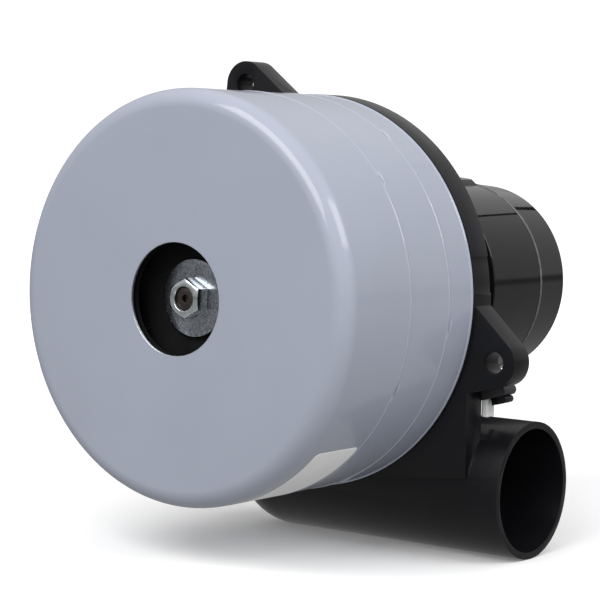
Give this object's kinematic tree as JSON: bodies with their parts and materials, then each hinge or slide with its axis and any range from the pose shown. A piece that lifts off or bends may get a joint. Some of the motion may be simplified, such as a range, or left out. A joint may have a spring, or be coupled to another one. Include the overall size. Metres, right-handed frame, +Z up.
{
  "type": "vacuum motor",
  "caption": "Three-stage vacuum motor with a round grey fan case, central inlet eye, black bracket with mounting ears and a tangential discharge horn.",
  "frame": {"origin": "centre of the inlet eye on the front face of the fan case", "axes": "+Y along the shaft from the inlet to the motor cover, +X out of the discharge horn, +Z up"},
  "size_m": [0.1623, 0.2016, 0.1794],
  "materials": {
    "case_paint": "satin bluish grey paint",
    "guide_steel": "mill-finish sheet",
    "moulded_black": "satin moulded black",
    "gloss_black": "glossy moulded black",
    "zinc_plate": "bright zinc plate",
    "dark_fan": "black-coated sheet",
    "bearing_steel": "ground steel",
    "shaft_steel": "turned steel",
    "lamination": "varnished laminated steel",
    "enamel_copper": "enamelled copper wire",
    "bare_copper": "turned copper",
    "brass": "drawn brass",
    "carbon": "pressed carbon",
    "white_nylon": "natural white nylon"
  },
  "bodies": {
    "stator": {"front_shell": "case_paint", "middle_shell": "case_paint", "rear_shell": "case_paint", "first_guide": "guide_steel", "second_guide": "guide_steel", "scroll_plate": "guide_steel", "fan_end_bracket": "moulded_black", "fan_end_outer_race": "bearing_steel", "fan_end_shields": "bearing_steel", "wave_washer": "bearing_steel", "bearing_retainer": "zinc_plate", "retainer_screws": "zinc_plate", "field_core": "lamination", "field_coils": "enamel_copper", "commutator_end_bracket": "gloss_black", "rear_outer_race": "bearing_steel", "rear_shields": "bearing_steel", "brush_holders": "brass", "upper_brush_spring": "bearing_steel", "lower_brush_spring": "bearing_steel", "brush_caps": "gloss_black", "tie_screws": "zinc_plate", "fan_cover": "gloss_black", "terminal_block": "moulded_black", "terminal_plug": "moulded_black", "terminal_insulator": "white_nylon"},
    "rotor": {"rotor_shaft": "shaft_steel", "fan_nut": "zinc_plate", "clamp_washer": "zinc_plate", "first_fan": "dark_fan", "second_fan": "dark_fan", "third_fan": "dark_fan", "fan_spacers": "zinc_plate", "bearing_spacer": "zinc_plate", "fan_end_inner_race": "bearing_steel", "rear_inner_race": "bearing_steel", "armature_core": "lamination", "armature_winding": "enamel_copper", "commutator": "bare_copper", "commutator_sleeve": "moulded_black", "cooling_fan": "moulded_black", "cooling_fan_clip": "zinc_plate"},
    "fan_end_ball_ring": {"fan_end_balls": "bearing_steel"},
    "rear_ball_ring": {"rear_balls": "bearing_steel"},
    "upper_brush_body": {"upper_brush": "carbon"},
    "lower_brush_body": {"lower_brush": "carbon"}
  },
  "joints": [
    {"name": "rotor_spin", "type": "hinge", "parent": "stator", "child": "rotor", "pos_m": [0, 0, 0], "axis": [0, -1, 0], "continuous": true},
    {"name": "fan_end_ball_orbit", "type": "hinge", "parent": "stator", "child": "fan_end_ball_ring", "pos_m": [0, 0.0865, 0], "axis": [0, -1, 0], "continuous": true},
    {"name": "rear_ball_orbit", "type": "hinge", "parent": "stator", "child": "rear_ball_ring", "pos_m": [0, 0.174, 0], "axis": [0, -1, 0], "continuous": true},
    {"name": "upper_brush_slide", "type": "slide", "parent": "stator", "child": "upper_brush_body", "axis": [0, 0, 1], "range_m": [0, 0.004], "stiffness_N_per_m": 300, "springref_m": -0.012, "deforming": ["upper_brush_spring"]},
    {"name": "lower_brush_slide", "type": "slide", "parent": "stator", "child": "lower_brush_body", "axis": [0, 0, -1], "range_m": [0, 0.004], "stiffness_N_per_m": 300, "springref_m": -0.012, "deforming": ["lower_brush_spring"]}
  ],
  "couplings": [
    {"joint": "fan_end_ball_orbit", "follows": "rotor_spin", "ratio": 0.36667},
    {"joint": "rear_ball_orbit", "follows": "rotor_spin", "ratio": 0.36}
  ]
}
